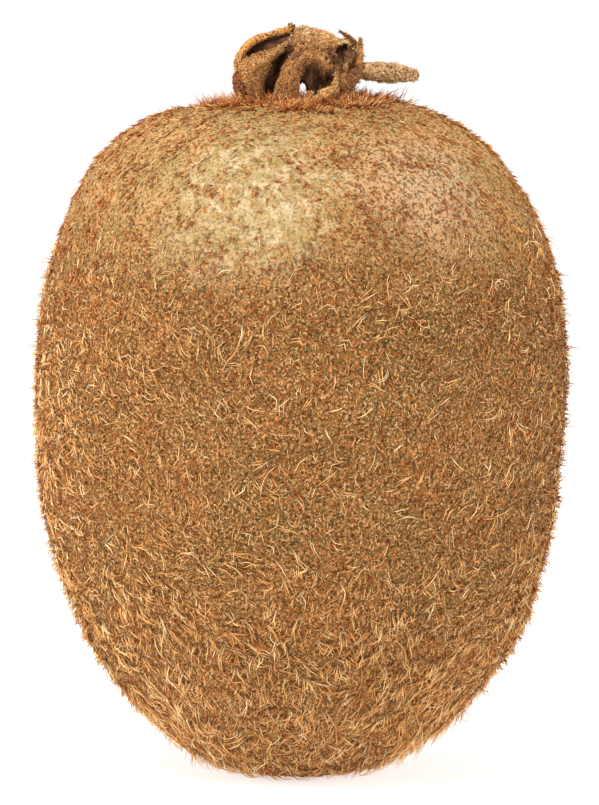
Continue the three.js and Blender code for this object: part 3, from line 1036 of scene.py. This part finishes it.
def sepal_sheet(guides, seed, folds):
    """The middle surface (rows, columns, 3) of a sepal: a smooth line along each guide, and
    a smooth line across them at each row. Its margins are ragged. Folds that run
    lengthwise, and fine wrinkles, push it along its normal, most towards the tip."""
    lines = calyx_points(guides)
    along = np.linspace(0, 1, SHEET_ROWS)
    across = np.linspace(0, 1, SHEET_COLUMNS)
    lengthwise = np.stack([smooth_line(line, along) for line in lines])
    start = ragged(along, seed, 0.045)
    stop = 1 + ragged(along, seed + 2, 0.045)
    places = start[:, None] + (stop - start)[:, None] * across
    sheet = np.stack([smooth_line(lengthwise[:, i], places[i]) for i in range(SHEET_ROWS)])
    tip_bites = ragged(across, seed + 4, 0.3 * MM)[None, :, None]
    tangent = np.gradient(sheet, axis=0)
    sheet = sheet + unit(tangent) * tip_bites * smooth_step(0.75, 1, along)[:, None, None]
    normal = sheet_normals(sheet)
    width = np.linalg.norm(np.diff(sheet, axis=1), axis=-1).sum(1).mean()
    length = np.linalg.norm(np.diff(sheet, axis=0), axis=-1).sum(0).mean()
    flat = np.stack(np.broadcast_arrays(across * width, along[:, None] * length * 0.22, 0.0), -1)
    push = folds * wave_noise(flat, 1.1 * MM, seed + 6)
    push += 0.35 * folds * wave_noise(flat, 0.45 * MM, seed + 7)
    push += 0.025 * MM * wave_noise(sheet, 0.3 * MM, seed + 8)
    hold = (0.3 + 0.7 * smooth_step(0.05, 0.5, along))[:, None]
    return sheet + normal * (push * hold)[..., None]


def sheet_normals(sheet):
    """Unit normals of a grid of points, by differences across and along it."""
    return unit(np.cross(np.gradient(sheet, axis=1), np.gradient(sheet, axis=0)))


def thick_sheet(sheet, thickness):
    """A closed shell: the sheet moved half its thickness to either side, thinner at the
    margins, with the two faces joined into one ring for each row."""
    rows, columns, _ = sheet.shape
    across = np.abs(np.linspace(-1, 1, columns))
    along = np.abs(np.linspace(-1, 1, rows))
    half = thickness / 2 * (1 - 0.6 * across[None, :] ** 4) * (1 - 0.6 * along[:, None] ** 6)
    shift = sheet_normals(sheet) * half[..., None]
    return np.concatenate([sheet + shift, (sheet - shift)[:, ::-1]], 1)


def shell_uvs(rows, sides):
    """Corner UVs for loft(poles=False): u goes once round the ring, so its first half is
    the outer face; v goes along it. The two ends keep thin strips of their own."""
    here = np.arange(sides)
    row = np.arange(rows - 1)[:, None]
    u = np.stack(np.broadcast_arrays(here, here + 1, here + 1, here), -1) / sides
    u = np.broadcast_to(u, (rows - 1, sides, 4))
    low = 0.03 + 0.94 * row / (rows - 1) + 0 * here
    high = 0.03 + 0.94 * (row + 1) / (rows - 1) + 0 * here
    v = np.stack([low, low, high, high], -1)
    half = np.arange(sides // 2 - 1)
    foot_u = np.stack([half + 1, half, half, half + 1], -1) / sides
    foot_v = np.broadcast_to([0.02, 0.02, 0.01, 0.01], foot_u.shape)
    tip_u = np.stack([half, half + 1, half + 1, half], -1) / sides
    tip_v = np.broadcast_to([0.98, 0.98, 0.99, 0.99], tip_u.shape)
    u = np.concatenate([u.ravel(), foot_u.ravel(), tip_u.ravel()])
    v = np.concatenate([v.ravel(), foot_v.ravel(), tip_v.ravel()])
    return np.stack([u, v], -1)


def felt_colour(nodes, felt, pit):
    """A felt of light specks over dark pits, with slow patches."""
    patches = nodes.spread(nodes.noise(1.2 * MM, 3.0), 0.38, 0.62, 0.0, 0.5)
    base = nodes.blend(patches, felt, tuple(0.4 * part for part in felt))
    pits = nodes.spread(nodes.noise(0.17 * MM, 2.0, 0.6), 0.54, 0.4, 0.0, 0.8)
    base = nodes.blend(pits, base, pit)
    specks = nodes.spread(nodes.noise(0.11 * MM, 2.0, 0.6), 0.54, 0.64, 0.0, 0.6)
    return nodes.blend(specks, base, tuple(min(1.0, 1.7 * part + 0.03) for part in felt))


def sepal_material(name, settings, inner_from, shade, lit_foot):
    """Felted on its outer face, in the felt's colour times shade, a tint that is partly the
    piece's own colour and partly painted light and shade; dark, smooth and streaked on its
    inner face, which starts at inner_from, a share of the way round: that dark is partly the
    face's own colour and partly painted shade of the hollows. With lit_foot, the inner face
    is as light as the outer one up to the middle of the sepal: painted light on its lit foot,
    below the painted shade of the roof."""
    nodes = Nodes(name, roughness=0.85, specular=0.12)
    layer = nodes.own_layer()
    around = nodes.axis("X", layer)
    colour = tuple(min(1.0, part * tint) for part, tint in zip(settings.outer, shade))
    outer = felt_colour(nodes, colour, tuple(settings.pit))
    streaks = nodes.spread(nodes.noise(0.6 * MM, 3.0, 0.6), 0.35, 0.65)
    lighter = tuple(2.1 * part for part in settings.inner)
    inner = nodes.blend(streaks, tuple(settings.inner), lighter)
    if lit_foot:
        lengthwise = nodes.axis("Y", layer)
        inner = nodes.blend(nodes.spread(lengthwise, 0.45, 0.8), outer, inner)
    inside = nodes.spread(around, inner_from - 0.02, inner_from + 0.02)
    wrapped = nodes.spread(around, 0.975, 0.99, 1.0, 0.0)
    nodes.colour(nodes.blend(nodes.product(inside, wrapped), outer, inner))
    relief = nodes.sum(nodes.noise(0.15 * MM, 2.0, 0.6), nodes.noise(0.5 * MM))
    nodes.bump(relief, 0.16 * MM)
    return nodes.material


def stalk_material(settings):
    """Dry, grained felt, with light specks and dark pits."""
    nodes = Nodes("kiwi_stalk", roughness=0.85, specular=0.12)
    nodes.colour(felt_colour(nodes, tuple(settings.stalk), tuple(settings.pit)))
    relief = nodes.sum(nodes.noise(0.17 * MM, 2.0, 0.6), nodes.noise(0.6 * MM))
    nodes.bump(relief, 0.16 * MM)
    return nodes.material


def felt(name, surface, length, fuzz, count, seed, slot, middle_tone):
    """Short felt on a surface, given as grids of its points, its normals and the way along."""
    points, normals, along = (grid.reshape(-1, 3) for grid in surface)
    rng = np.random.default_rng(seed)
    pick = rng.integers(0, len(points), count)
    root, normal, forward = points[pick], normals[pick], along[pick]
    side = np.cross(normal, forward)
    angle = rng.normal(size=count) * 1.2
    lean = np.cos(angle)[:, None] * forward + np.sin(angle)[:, None] * side
    root = root + lean * (rng.uniform(-0.1, 0.1, count) * MM)[:, None]
    long = length * rng.uniform(0.5, 1.5, count)
    lift = rng.uniform(0.3, 1.3, count)
    droop = rng.uniform(0, 0.8, count)
    curl = rng.normal(size=count) * 0.8
    paths = strand_paths(root, normal, lean, long, lift, droop, curl, 2)
    radius = rng.uniform(0.02, 0.032, count) * MM
    tone = rng.normal(middle_tone, 0.32, count)
    material = hair_material(f"kiwi_{name}", fuzz)
    return strand_mesh(name, paths, normal, radius, tone, material)


# How each sepal and fold looks: where its dark inner face starts, as a share of the way
# round its section (that dark is partly painted shade of the hollows); the size of its folds
# in millimetres; the columns of its sheet that carry felt; the tint of the felt, which is
# partly the piece's own colour and partly painted light and shade: brighter for the lit top
# of the roof and the rolled rim, lit along its edge, and darker for pieces that lie in
# shade, such as the pointed flake in the dark hollow by the tip.
LOOKS = {
    "sepal_left": (0.5, 0.13, (0, 34), (1.05, 1.05, 1.0)),
    "sepal_front": (0.37, 0.3, (0, 46), (0.9, 0.85, 0.8)),
    "sepal_right": (0.5, 0.13, ALL_OVER, (0.9, 0.9, 0.9)),
    "sepal_roof": (0.5, 0.18, ALL_OVER, (1.65, 1.95, 2.4)),
    "sepal_back": (0.5, 0.07, ALL_OVER, (0.9, 0.9, 0.9)),
    "rolled_rim": (0.5, 0.15, ALL_OVER, (1.4, 1.25, 0.9)),
    "lower_curl": (0.5, 0.06, ALL_OVER, (0.45, 0.3, 0.3)),
    "cave_lip": (1.1, 0.05, ALL_OVER, (1.25, 1.3, 1.3)),
    "roof_hem": (0.5, 0.16, ALL_OVER, (0.95, 1.0, 1.0)),
    "pointed_flake": (0.5, 0.04, ALL_OVER, (0.35, 0.3, 0.3)),
    "pointed_tip": (0.5, 0.06, ALL_OVER, (0.85, 0.8, 0.75)),
    "neck": (0.5, 0.08, ALL_OVER, (0.55, 0.55, 0.6)),
}
# This sepal's inner face is painted light at its lit foot and keeps the painted shade of the roof
# above it.
LIT_FOOT_SEPAL = "sepal_right"  # the sepal that turns its hollow to the front


def make_sepal(context, name, guides, seed, count):
    """One sepal or fold: its blade, and felt on its outer face."""
    settings, fuzz = context.scene.kiwi_calyx, context.scene.kiwi_fuzz
    inner_from, folds, (low, high), shade = LOOKS[name]
    sheet = sepal_sheet(guides, seed, folds * MM)
    rings = thick_sheet(sheet, settings.sepal_thickness)
    points, corners, sizes = loft(rings, poles=False)
    lit_foot = name == LIT_FOOT_SEPAL
    material = sepal_material(f"kiwi_{name}", settings, inner_from, shade, lit_foot)
    uvs = shell_uvs(*rings.shape[:2])
    blade = make_object(f"{name}_blade", points, corners, sizes, material, uvs)
    normals = sheet_normals(sheet)
    skin = sheet + normals * settings.sepal_thickness * 0.35
    forward = unit(np.gradient(sheet, axis=0))
    # The felt's count and tone follow the tint, so the felt carries its piece's painted light and
    # shade too.
    felt(
        f"{name}_felt",
        [grid[:, low:high] for grid in (skin, normals, forward)],
        settings.felt_length,
        fuzz,
        int(count * min(1.0, shade[0])),
        seed + 11,
        "sepal",
        0.15 + 0.27 * min(1.3, shade[0]),
    )
    return blade


class KIWI_OT_sepals(Operator):
    """Make the five dried sepals, each with its felt"""

    bl_idname = "kiwi.sepals"
    bl_label = "Sepals"

    def execute(self, context):
        count = context.scene.kiwi_calyx.felt_count
        for number, (name, guides) in enumerate(SEPALS.items()):
            blade = make_sepal(context, name, guides, 700 + 20 * number, count)
            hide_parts(name)
        return {"FINISHED"}


class KIWI_OT_folds(Operator):
    """Make the rolled margins, curls and pointed ends of the sepals"""

    bl_idname = "kiwi.folds"
    bl_label = "Dried Folds"

    def execute(self, context):
        count = context.scene.kiwi_calyx.felt_count // 3
        for number, (name, guides) in enumerate(FOLDS.items()):
            make_sepal(context, name, guides, 1500 + 20 * number, count)
        return {"FINISHED"}


def stalk_rings():
    """Rings (rows, sides) of points round the stalk's middle line, the way out from that
    line at each of them, and the line's direction. The stalk is thickest towards its cut
    end, has a knot half way along it, and is a little bumpy."""
    rows, sides = 160, 44
    along = np.linspace(0, 1, rows)
    line = smooth_line(calyx_points(STALK), along)
    tangent = unit(np.gradient(line, axis=0))
    side = unit(np.cross(tangent, np.array([0, 1, 0.3])))
    upper = np.cross(side, tangent)
    belly = np.sin(np.pi * along**2.6) ** 2
    ends = np.sqrt(np.clip(1 - np.abs(2 * along - 1) ** 16, 0, None))
    radius = (0.56 + 0.36 * belly) * MM * ends
    knot = 0.2 * MM * np.exp(-(((along - 0.53) / 0.04) ** 2))
    radius = np.maximum(radius + knot, 0.01 * MM)
    angle = np.linspace(0, 2 * np.pi, sides, endpoint=False)[::-1]
    radial = np.cos(angle)[:, None] * side[:, None] + np.sin(angle)[:, None] * upper[:, None]
    rings = line[:, None] + radial * radius[:, None, None]
    bumps = 0.06 * MM * wave_noise(rings, 1.1 * MM, 81)
    bumps += 0.035 * MM * wave_noise(rings, 0.35 * MM, 82)
    rings = rings + radial * (bumps * np.minimum(1, radius / (0.4 * MM))[:, None])[..., None]
    return rings, radial, tangent


class KIWI_OT_stalk(Operator):
    """Make the bent stalk stub with its felt"""

    bl_idname = "kiwi.stalk"
    bl_label = "Stalk Stub"

    def execute(self, context):
        settings, fuzz = context.scene.kiwi_calyx, context.scene.kiwi_fuzz
        rings, radial, tangent = stalk_rings()
        points, corners, sizes = loft(rings, poles=True)
        material = stalk_material(settings)
        stalk = make_object("stalk_stub_core", points, corners, sizes, material)
        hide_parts("stalk_stub")
        forward = np.broadcast_to(tangent[:, None], rings.shape)
        felt(
            "stalk_stub_felt",
            [grid[STALK_FELT] for grid in (rings, radial, forward)],
            0.7 * settings.felt_length,
            fuzz,
            settings.felt_count,
            950,
            "stalk",
            0.6,
        )
        return {"FINISHED"}


# ------------------------------------------------------------------ stage


class KIWI_OT_stage(Operator):
    """Set up the pale floor, the soft light and the camera"""

    bl_idname = "kiwi.stage"
    bl_label = "Stage"

    def execute(self, context):
        scene, stage = context.scene, context.scene.kiwi_stage
        self.make_floor(scene, stage)
        self.make_sky(scene, stage)
        middle = Vector((0, 0, 38 * MM))
        self.make_light(scene, "key", middle, -27, 54, 0.6, 0.2, stage.key_power)
        self.make_light(scene, "left", middle, -84, 12, 0.7, 0.5, stage.side_power)
        self.make_light(scene, "right", middle, 82, 8, 0.7, 0.5, 1.2 * stage.side_power)
        self.make_camera(scene, stage)
        scene.view_settings.view_transform = "Standard"
        return {"FINISHED"}

    def make_floor(self, scene, stage):
        half = 2.0
        points = np.array([(-half, -half, 0), (half, -half, 0), (half, half, 0), (-half, half, 0)])
        nodes = Nodes("studio_floor", roughness=0.9)
        faint = nodes.spread(nodes.noise(40 * MM), 0.3, 0.7)
        nodes.colour(nodes.blend(faint, (0.93, 0.93, 0.93), (0.95, 0.95, 0.95)))
        nodes.shader.inputs["Emission Color"].default_value = (1.0, 1.0, 1.0, 1.0)
        nodes.shader.inputs["Emission Strength"].default_value = stage.floor_glow
        mesh = bpy.data.meshes.new("floor")
        mesh.from_pydata(points.tolist(), [], [(0, 1, 2, 3)])
        mesh.materials.append(nodes.material)
        floor = bpy.data.objects.new("floor", mesh)
        scene.collection.objects.link(floor)

    def make_sky(self, scene, stage):
        """An even sky: white where it is seen, dimmer as a source of light."""
        world = bpy.data.worlds.new("studio")
        world.use_nodes = True
        tree = world.node_tree
        background = tree.nodes["Background"]
        background.inputs["Color"].default_value = (1.0, 1.0, 1.0, 1.0)
        seen = tree.nodes.new("ShaderNodeLightPath")
        level = tree.nodes.new("ShaderNodeMapRange")
        level.inputs["To Min"].default_value = stage.sky
        level.inputs["To Max"].default_value = stage.backdrop
        tree.links.new(seen.outputs["Is Camera Ray"], level.inputs["Value"])
        tree.links.new(level.outputs["Result"], background.inputs["Strength"])
        scene.world = world

    def make_light(self, scene, name, middle, azimuth, elevation, distance, size, power):
        """An area light that faces the fruit. azimuth is measured from the front, positive
        towards +X, in degrees."""
        turn, rise = math.radians(azimuth), math.radians(elevation)
        way = Vector(
            (math.sin(turn) * math.cos(rise), -math.cos(turn) * math.cos(rise), math.sin(rise))
        )
        light = bpy.data.lights.new(name, "AREA")
        light.shape = "DISK"
        light.size = size
        light.energy = power
        lamp = bpy.data.objects.new(name, light)
        lamp.location = middle + way * distance
        lamp.rotation_euler = (-way).to_track_quat("-Z", "Y").to_euler()
        scene.collection.objects.link(lamp)

    def make_camera(self, scene, stage):
        camera = bpy.data.cameras.new("camera")
        camera.lens = stage.lens
        camera.clip_start = 0.01
        viewer = bpy.data.objects.new("camera", camera)
        rise = stage.camera_elevation
        way = Vector((0, -math.cos(rise), math.sin(rise)))
        viewer.location = Vector((0, 0, stage.aim_height)) + way * stage.camera_distance
        viewer.rotation_euler = (-way).to_track_quat("-Z", "Y").to_euler()
        scene.collection.objects.link(viewer)
        scene.camera = viewer


# ------------------------------------------------------------------ panel and registration

MAKERS = (
    KIWI_OT_stage,
    KIWI_OT_body,
    KIWI_OT_short_fuzz,
    KIWI_OT_long_fuzz,
    KIWI_OT_flecks,
    KIWI_OT_base_fur,
    KIWI_OT_crown_tuft,
    KIWI_OT_sepals,
    KIWI_OT_folds,
    KIWI_OT_stalk,
)

SETTINGS = {
    "kiwi_body": KiwiBodySettings,
    "kiwi_fuzz": KiwiFuzzSettings,
    "kiwi_calyx": KiwiCalyxSettings,
    "kiwi_stage": KiwiStageSettings,
}


class KIWI_PT_panel(Panel):
    """The settings and the makers of the kiwi fruit"""

    bl_idname = "KIWI_PT_panel"
    bl_label = "Kiwi Fruit"
    bl_space_type = "VIEW_3D"
    bl_region_type = "UI"
    bl_category = "Kiwi Fruit"

    def draw(self, context):
        for name, group in SETTINGS.items():
            box = self.layout.box()
            for key in group.__annotations__:
                box.prop(getattr(context.scene, name), key)
        for maker in MAKERS:
            self.layout.operator(maker.bl_idname)


def register():
    for group in SETTINGS.values():
        bpy.utils.register_class(group)
    for name, group in SETTINGS.items():
        setattr(bpy.types.Scene, name, PointerProperty(type=group))
    for maker in (*MAKERS, KIWI_PT_panel):
        bpy.utils.register_class(maker)


def unregister():
    for maker in (KIWI_PT_panel, *reversed(MAKERS)):
        bpy.utils.unregister_class(maker)
    for name in SETTINGS:
        delattr(bpy.types.Scene, name)
    for group in reversed(SETTINGS.values()):
        bpy.utils.unregister_class(group)


def main():
    register()
    bpy.ops.kiwi.stage()
    bpy.ops.kiwi.body()
    bpy.ops.kiwi.short_fuzz()
    bpy.ops.kiwi.long_fuzz()
    bpy.ops.kiwi.flecks()
    bpy.ops.kiwi.base_fur()
    bpy.ops.kiwi.crown_tuft()
    bpy.ops.kiwi.sepals()
    bpy.ops.kiwi.folds()
    bpy.ops.kiwi.stalk()


if __name__ == "__main__":
    main()
